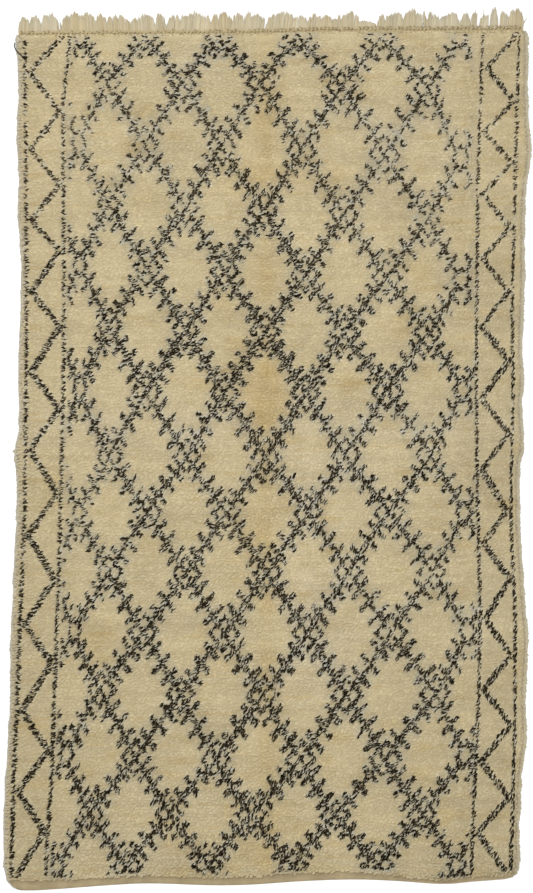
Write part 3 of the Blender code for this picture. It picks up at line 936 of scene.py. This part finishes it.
lock_points, lock_faces = stretched_form(((0.0, 0.8), (0.35, 1.0), (0.75, 0.75)))
draw = np.random.default_rng(77)
roots, tips, widths = [], [], []
for side, edge_x, ends, outward in (
    ("left", left_x, LEFT_ENDS, -1.0),
    ("right", right_x, RIGHT_ENDS, 1.0),
):
    for lock_y in np.arange(ends[0] + 0.010, ends[1] - 0.002, LOCK_PITCH):
        wave = 0.5 + 0.5 * soft_noise(outward, lock_y, RIM_WAVE, 91)
        wave = mix(wave, 0.5 + 0.5 * soft_noise(outward, lock_y, 0.4 * RIM_WAVE, 92), 0.35)
        reach = mix(*RIM_REACH, wave) + RIGHT_FURTHER * (side == "right")
        reach *= draw.uniform(*LOCK_UNEVEN)
        for tuft in STANDING_OUT:
            if tuft.side == side and abs(tuft.y - lock_y) < 0.004:
                reach = tuft.reach - abs(tuft.y - lock_y)
        height = draw.uniform(*LOCK_HEIGHT)
        root_in = draw.uniform(*LOCK_ROOT_IN)
        roots.append((edge_x(lock_y) - outward * root_in, lock_y, height))
        end_y = lock_y - LOCK_DROOP * reach + draw.normal(0.0, 0.0007)
        end_z = min(LOCK_DROOP * height, LOCK_HEIGHT[0])
        tips.append((edge_x(end_y) + outward * reach, end_y, end_z))
        widths.append(draw.uniform(*LOCK_HALF_WIDTH))
roots, tips, widths = np.array(roots), np.array(tips), np.array(widths)
locks = len(roots)
edge_locks = laid_out(lock_points, roots, tips, widths, LOCK_THICKNESS, LOCK_BULGE)
# The locks are painted towards the grey rim shade, most on the left, and the left-hand ones a
# little darker still: painted shade along the rim.
greyed = draw.uniform(0.5, 1.0, locks) * rim_shade_share(roots[:, 0], roots[:, 1])
tone = mix(cream_wool(roots[:, 0], roots[:, 1]), RIM_SHADE_GREY, greyed[:, None])
tone *= (np.where(roots[:, 0] < 0.0, 0.93, 0.99) * draw.normal(1.0, 0.03, locks))[:, None]
# Each lock is painted darker at its root: painted shade where it leaves the pile.
lock_shade = np.interp(lock_points[:, 0], (0.0, 0.5, 1.0), (0.80, 0.98, 1.0))[:, None]
mesh = joined_copies("edge_locks", lock_faces, edge_locks, tone, lock_shade)
add_piece("edge_locks", mesh, pile_wool)


# --- Heading ------------------------------------------------------------------------------
# The plain band that closes the cloth at its head end: a few wefts beaten down hard past the
# last row of knots, held by twining, one cream and one brown strand that cross over between
# every two warps. A second row slants the other way, and has mostly worn off on the left.
HEADING_COLUMNS = 260
HEADING_DEPTH = 0.014
HEADING_LIFT = 0.0003       # its underside lies this far above that of the ground
HEADING_PROFILE = ((0.0, 0.0050), (0.10, 0.0054), (0.40, 0.0054), (0.75, 0.0048), (1.0, 0.0030))
HEADING_WOOL = np.array((0.386, 0.314, 0.176))
RIB_PITCH = (0.0040, 0.0028)        # of its weave, across and along
TWINING_PLACES = (-0.95, -0.10, 0.06, 0.20, 0.95)
TWINING_RISES = (0.0005, 0.0010, 0.0045, 0.0085, 0.0085)    # how far past the cloth it runs
STITCH_PITCH = 0.0070
STITCH_LENGTH = 0.0085
STITCH_HALF_WIDTH = 0.0022
STITCH_THICKNESS = 0.0022
STITCH_BULGE = 0.0010
STITCH_SLANT = 0.0062
ROW_STEP = 0.0072           # from the first row of twining to the second
ROW_LEFT = (-0.35, 0.05)    # between these x the second row fades in from the worn left
BROWN_STRAND = np.array((0.205, 0.150, 0.078))

fringe_low, fringe_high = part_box("warp_fringe")
heading_left, heading_right = fringe_low[0], fringe_high[0]


def heading_y(x, share):
    """y on the heading at x, from 0 beside the pile to 1 at its outer edge."""
    return mix(pile_head_y(x) - 0.0020, head_y(x) + HEADING_DEPTH, share)


def twining_y(x):
    """y of the twining at x."""
    return head_y(x) + np.interp(x, TWINING_PLACES, TWINING_RISES)


bm = bmesh.new()
profile_steps = len(HEADING_PROFILE) - 1
bmesh.ops.create_grid(bm, x_segments=HEADING_COLUMNS, y_segments=profile_steps, size=0.5)
levels = {}
for vert in bm.verts:
    share, height = HEADING_PROFILE[round((vert.co.y + 0.5) * profile_steps)]
    x = mix(heading_left, heading_right, vert.co.x + 0.5)
    y = heading_y(x, share) + 0.0006 * soft_noise(x, share, 0.02, 71)
    vert.co = Vector((x, y, HEADING_LIFT))
    levels[(vert.co.x, vert.co.y)] = height * (1.0 + 0.05 * soft_noise(x, share, 0.012, 72))
raise_top(bm, levels)
heading_mesh = finished_mesh(bm, "heading_band")
heading_points = mesh_points(heading_mesh)
wear_and_darkening = 1.0 + 0.05 * soft_noise(heading_points[:, 0], heading_points[:, 1], 0.03, 73)
paint(heading_mesh, HEADING_WOOL * wear_and_darkening[:, None])

band_wool, tree, shader = wool_finish("band_wool", 0.90, 0.08)
place, across, along = places(tree)
ribs = (along * (2.0 * math.pi / RIB_PITCH[1])).sine()
ribs = ribs * (across * (2.0 * math.pi / RIB_PITCH[0])).sine()
slub = fibres(tree, place, 300.0, 2.0)
tone = spun_wool(tree, 0.86 + 0.22 * slub + 0.08 * ribs)
wire_up(tree, shader, tone, ribs * 0.5 + slub, 0.0010, 0.7)
heading = add_piece("heading_band", heading_mesh, band_wool)
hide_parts("warp_fringe")

draw = np.random.default_rng(31)
stitch_points, stitch_faces = stretched_form(((0.0, 0.35), (0.25, 0.9), (0.6, 1.0), (0.85, 0.6)))
stitch_x = np.arange(heading_left + 0.004, heading_right - 0.004, STITCH_PITCH)
stitches = len(stitch_x)
brown = np.tile(np.arange(stitches) % 2 == 1, 2)
second = np.repeat((0.0, 1.0), stitches)
left = np.interp(stitch_x, ROW_LEFT, (0.30, 0.92))
kept = np.concatenate([np.ones(stitches, bool), draw.random(stitches) < left])
stitch_x, brown, second = np.tile(stitch_x, 2)[kept], brown[kept], second[kept]
stitches = len(stitch_x)
stitch_x = stitch_x + draw.normal(0.0, 0.0009, stitches)
middle_y = twining_y(stitch_x) + ROW_STEP * second + draw.normal(0.0, 0.0012, stitches)
stitch_length = STITCH_LENGTH * draw.uniform(0.85, 1.15, stitches)
slant = STITCH_SLANT * draw.uniform(0.4, 1.4, stitches) * (1.0 - 2.0 * second)
height = np.where(brown, 0.0052, 0.0054)
start, end = (
    np.stack([stitch_x + half * stitch_length, middle_y + half * slant, height], axis=1)
    for half in (-0.5, 0.5)
)
widths = np.where(brown, 1.0, 1.15) * STITCH_HALF_WIDTH
stitch_shapes = laid_out(stitch_points, start, end, widths, STITCH_THICKNESS, STITCH_BULGE)
tone = np.where(brown[:, None], BROWN_STRAND * (1.0 + 0.30 * second[:, None]), HEADING_WOOL)
tone = tone * draw.uniform(0.75, 1.25, stitches)[:, None]
stitch_shade = np.ones((len(stitch_points), 1))
mesh = joined_copies("heading_twining", stitch_faces, stitch_shapes, tone, stitch_shade)
twining = add_piece("heading_twining", mesh, band_wool)


# --- Fringe -------------------------------------------------------------------------------
# The ends of the ground's own warps, left past the heading when the rug is cut off the loom.
# They are loosely spun ivory wool, which has opened out and clings together in flat bunches.
Bunch = namedtuple("Bunch", "width reach peak")
BUNCHES = (                 # width, reach of the longest yarn, and where in the bunch it stands
    Bunch(0.039, 0.050, 0.55),
    Bunch(0.041, 0.054, 0.35),
    Bunch(0.058, 0.062, 0.50),
    Bunch(0.018, 0.040, 0.40),
    Bunch(0.068, 0.068, 0.70),
    Bunch(0.058, 0.064, 0.30),
    Bunch(0.043, 0.057, 0.45),
    Bunch(0.036, 0.056, 0.65),
    Bunch(0.047, 0.055, 0.25),
    Bunch(0.025, 0.043, 0.50),
    Bunch(0.061, 0.056, 0.45),
    Bunch(0.036, 0.060, 0.35),
    Bunch(0.047, 0.054, 0.70),
    Bunch(0.090, 0.064, 0.60),
    Bunch(0.025, 0.054, 0.50),
    Bunch(0.029, 0.057, 0.50),
    Bunch(0.047, 0.062, 0.35),
    Bunch(0.040, 0.061, 0.55),
    Bunch(0.029, 0.061, 0.60),
    Bunch(0.054, 0.056, 0.25),
    Bunch(0.094, 0.064, 0.65),
    Bunch(0.050, 0.046, 0.50),
    Bunch(0.050, 0.055, 0.60),
    Bunch(0.040, 0.052, 0.45),
    Bunch(0.025, 0.037, 0.50),
    Bunch(0.013, 0.059, 0.40),
    Bunch(0.063, 0.060, 0.50),
    Bunch(0.067, 0.029, 0.30),
    Bunch(0.023, 0.055, 0.50),
    Bunch(0.065, 0.060, 0.65),
    Bunch(0.068, 0.068, 0.40),
    Bunch(0.022, 0.063, 0.45),
    Bunch(0.022, 0.060, 0.40),
    Bunch(0.025, 0.049, 0.40),
    Bunch(0.068, 0.056, 0.60),
    Bunch(0.041, 0.056, 0.70),
    Bunch(0.027, 0.060, 0.65),
    Bunch(0.040, 0.049, 0.75),
    Bunch(0.029, 0.071, 0.60),
    Bunch(0.040, 0.060, 0.60),
    Bunch(0.053, 0.071, 0.50),
)
YARN_PITCH = 0.00165        # from yarn to yarn at the heading, in each of the two layers
YARN_HALF_WIDTH = (0.0016, 0.0024)
YARN_THICKNESS = 0.0013
YARN_BULGE = 0.0006
LAYER_HEIGHTS = (0.0012, 0.0032)
BUNCH_SPREAD = 0.07         # how far the tips of a bunch spread out from its middle
BUNCH_ARCH = 0.42           # how much shorter the outer yarns of a bunch are
NOTCH = (0.30, 0.0045)      # and those right beside the next bunch, within this width
WISP = 0.015                # width of the wisps that the yarns of a bunch cling in
WISP_CLOSE = 0.06
WISP_ARCH = 0.08
Gap = namedtuple("Gap", "x width")
GAPS = (                    # places between bunches that are open down to the heading
    Gap(-0.745, 0.008),
    Gap(-0.670, 0.004),
    Gap(-0.008, 0.005),
    Gap(0.560, 0.011),
    Gap(0.760, 0.009),
    Gap(0.799, 0.006),
    Gap(0.834, 0.009),
)
YARN_WOOL = np.array((0.430, 0.381, 0.268))
YARN_GOLDEN = np.array((0.385, 0.302, 0.165))
YARN_TIP = np.array((0.97, 1.00, 1.06))     # the tips have weathered to a greyer tone
Loose = namedtuple("Loose", "root_x tip_x reach")
LOOSE_YARNS = (             # single yarns that stand out from the bunches
    Loose(-0.826, -0.826, 0.066),
    Loose(-0.776, -0.783, 0.071),
    Loose(-0.740, -0.745, 0.045),
    Loose(0.750, 0.753, 0.076),
    Loose(0.780, 0.781, 0.072),
    Loose(0.915, 0.941, 0.042),
)

draw = np.random.default_rng(5)
yarn_points, yarn_faces = stretched_form(((0.0, 0.8), (0.3, 1.0), (0.6, 0.9), (0.85, 0.55)))
scale = (heading_right - heading_left) / sum(bunch.width for bunch in BUNCHES)
roots, tips, bows, widths, tones = [], [], [], [], []


def add_yarn(root_x, tip_x, reach, layer, width, tone):
    """Lay one yarn of the fringe on the floor."""
    level = LAYER_HEIGHTS[layer] + draw.uniform(-0.0003, 0.0004)
    roots.append((root_x, twining_y(root_x) + 0.0012, level + 0.0010))
    tips.append((tip_x, heading_y(root_x, 1.0) + reach, 0.45 * level + 0.0004))
    bows.append(0.0022 * soft_noise(root_x, layer, 0.014, 84) + draw.normal(0.0, 0.0007))
    widths.append(width)
    tones.append(tone)


bunch_start = heading_left
for bunch in BUNCHES:
    bunch_width = bunch.width * scale
    golden = 0.36 + 0.32 * soft_noise(bunch_start, 0.0, 0.09, 81)
    lightness = draw.normal(1.0, 0.030)
    bunch_lean = 0.0075 * soft_noise(bunch_start, 0.0, 0.16, 82)
    wisps = max(1, round(bunch_width / WISP))
    wisp_reach = draw.uniform(0.95, 1.06, wisps)
    wisp_reach[min(int(bunch.peak * wisps), wisps - 1)] = 1.06
    wisp_lean = draw.normal(0.0, 0.0012, wisps)
    wisp_tone = draw.normal(1.0, 0.035, wisps)
    for layer in (0, 1):
        count = round(bunch_width / YARN_PITCH)
        for number in range(count):
            share = np.clip((number + 0.5 + draw.normal(0.0, 0.3)) / count, 0.0, 0.999)
            wisp = int(share * wisps)
            in_wisp = share * wisps - wisp - 0.5
            yarn_x = bunch_start + share * bunch_width
            if any(abs(yarn_x - gap.x) < gap.width / 2.0 for gap in GAPS):
                continue
            arch = BUNCH_ARCH * min(abs(share - bunch.peak) * 1.5, 1.0) ** 2
            arch += WISP_ARCH * (2.0 * abs(in_wisp)) ** 2
            beside = min(share, 1.0 - share) * bunch_width
            arch += NOTCH[0] * math.exp(-((beside / NOTCH[1]) ** 2))
            reach = bunch.reach * wisp_reach[wisp] * (1.0 - arch)
            reach *= draw.triangular(0.80, 1.0, 1.05)
            reach *= 1.0 + 0.09 * soft_noise(yarn_x, 0.0, 0.0045, 85)
            tip_x = yarn_x + BUNCH_SPREAD * (share - 0.5) * bunch_width
            tip_x += bunch_lean + wisp_lean[wisp] - WISP_CLOSE * in_wisp * bunch_width / wisps
            tip_x += 0.0030 * soft_noise(yarn_x, layer, 0.012, 83) + draw.normal(0.0, 0.0014)
            goldened = np.clip(golden + draw.normal(0.0, 0.26), 0.0, 1.0)
            tone = mix(YARN_WOOL, YARN_GOLDEN, goldened)
            tone = tone * lightness * wisp_tone[wisp] * draw.normal(1.0, 0.060)
            add_yarn(yarn_x, tip_x, reach, layer, draw.uniform(*YARN_HALF_WIDTH), tone)
    bunch_start += bunch_width
for loose in LOOSE_YARNS:
    add_yarn(loose.root_x, loose.tip_x, loose.reach, 1, 0.0017, YARN_WOOL * 0.80)
roots, tips, widths = np.array(roots), np.array(tips), np.array(widths)
bows = np.array(bows)
yarn_shapes = laid_out(yarn_points, roots, tips, widths, YARN_THICKNESS, YARN_BULGE, bows)
yarn_shapes[:, :, 2] = np.maximum(yarn_shapes[:, :, 2], 0.0001)
# Each yarn is painted darker at its root, as painted shade under the twining, and a touch darker at
# its very end.
yarn_shade = np.interp(yarn_points[:, 0], (0.0, 0.15, 0.8, 1.0), (0.90, 0.98, 1.0, 0.98))
yarn_shade = yarn_shade[:, None] * mix(1.0, YARN_TIP, yarn_points[:, :1])
mesh = joined_copies("warp_ends", yarn_faces, yarn_shapes, np.array(tones), yarn_shade)

yarn_wool, tree, shader = wool_finish("yarn_wool", 0.88, 0.10)
sockets = {"Vector": places(tree)[0], "Scale": (1.0, 0.18, 1.0)}
strand = fibres(tree, Wire.node(tree, "ShaderNodeMapping", sockets=sockets), 900.0, 2.0)
wire_up(tree, shader, spun_wool(tree, 0.84 + 0.32 * strand), strand, 0.0008, 0.6)
fringe = add_piece("warp_ends", mesh, yarn_wool)
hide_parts("warp_fringe")


# --- Loose dark yarn ----------------------------------------------------------------------
# One end of near-black pile yarn that has pulled free at the upper left corner and lies over
# the edge of the pile. It is the same hand-spun wool as the dark knots.
YARN_RUN = (                # from its free end to where it goes back into the pile
    (-0.9050, 1.4600, 0.0120),
    (-0.9060, 1.4480, 0.0165),
    (-0.9010, 1.4340, 0.0190),
    (-0.8910, 1.4220, 0.0195),
    (-0.8800, 1.4130, 0.0192),
    (-0.8730, 1.4030, 0.0150),
)
LOOSE_YARN_RADIUS = 0.0019

bm = bmesh.new()
bmesh.ops.create_circle(bm, cap_ends=True, segments=8, radius=LOOSE_YARN_RADIUS)
bmesh.ops.translate(bm, verts=bm.verts, vec=YARN_RUN[0])
end = list(bm.faces)
for before, after in zip(YARN_RUN, YARN_RUN[1:]):
    grown = bmesh.ops.extrude_face_region(bm, geom=end)["geom"]
    end = [part for part in grown if isinstance(part, bmesh.types.BMFace)]
    step = Vector(after) - Vector(before)
    bmesh.ops.translate(bm, verts=list(end[0].verts), vec=step)
    turn = end[0].normal.rotation_difference(step).to_matrix()
    bmesh.ops.rotate(bm, verts=list(end[0].verts), cent=after, matrix=turn)
yarn_mesh = finished_mesh(bm, "loose_dark_yarn")
paint(yarn_mesh, np.tile(DARK_WOOL * 1.2, (len(yarn_mesh.vertices), 1)))
add_piece("loose_dark_yarn", yarn_mesh, pile_wool)


# --- Floor, light and camera --------------------------------------------------------------
# A plain white studio floor under large soft lights, with the camera straight above the rug
# and its fringed end at the top of the picture.
PICTURE = (533, 893)
METRES_PER_PIXEL = 0.0036
PICTURE_CENTRE = (0.0, 0.009)
CAMERA_HEIGHT = 9.0

bm = bmesh.new()
bmesh.ops.create_grid(bm, x_segments=1, y_segments=1, size=30.0)
bmesh.ops.translate(bm, verts=bm.verts, vec=(0.0, 0.0, -0.0006))
floor_mesh = bpy.data.meshes.new("studio_floor")
bm.to_mesh(floor_mesh)
bm.free()
floor_paint = bpy.data.materials.new("floor_paint")
floor_paint.use_nodes = True
floor_shader = floor_paint.node_tree.nodes["Principled BSDF"]
floor_shader.inputs["Base Color"].default_value = (0.90, 0.90, 0.90, 1.0)
floor_shader.inputs["Roughness"].default_value = 0.9
floor_mesh.materials.append(floor_paint)
studio_floor = bpy.data.objects.new("studio_floor", floor_mesh)
bpy.context.scene.collection.objects.link(studio_floor)

world = bpy.data.worlds.new("studio_air")
world.use_nodes = True
world.node_tree.nodes["Background"].inputs["Color"].default_value = (1.0, 1.0, 1.0, 1.0)
world.node_tree.nodes["Background"].inputs["Strength"].default_value = 0.85
bpy.context.scene.world = world

Lamp = namedtuple("Lamp", "name place size watts")
LAMPS = (
    Lamp("key_softbox", (-1.6, 1.6, 5.5), 4.0, 200.0),
    Lamp("fill_softbox", (1.8, -1.6, 6.0), 4.0, 110.0),
)
for lamp in LAMPS:
    light = bpy.data.lights.new(lamp.name, "AREA")
    light.shape = "SQUARE"
    light.size = lamp.size
    light.energy = lamp.watts
    holder = bpy.data.objects.new(lamp.name, light)
    holder.location = lamp.place
    holder.rotation_euler = (-Vector(lamp.place)).to_track_quat("-Z", "Y").to_euler()
    bpy.context.scene.collection.objects.link(holder)

lens = bpy.data.cameras.new("camera")
lens.sensor_fit = "AUTO"
lens.sensor_width = 36.0
lens.lens = lens.sensor_width * CAMERA_HEIGHT / (PICTURE[1] * METRES_PER_PIXEL)
camera = bpy.data.objects.new("camera", lens)
camera.location = (*PICTURE_CENTRE, CAMERA_HEIGHT)
bpy.context.scene.collection.objects.link(camera)
bpy.context.scene.camera = camera
bpy.context.scene.view_settings.view_transform = "Standard"
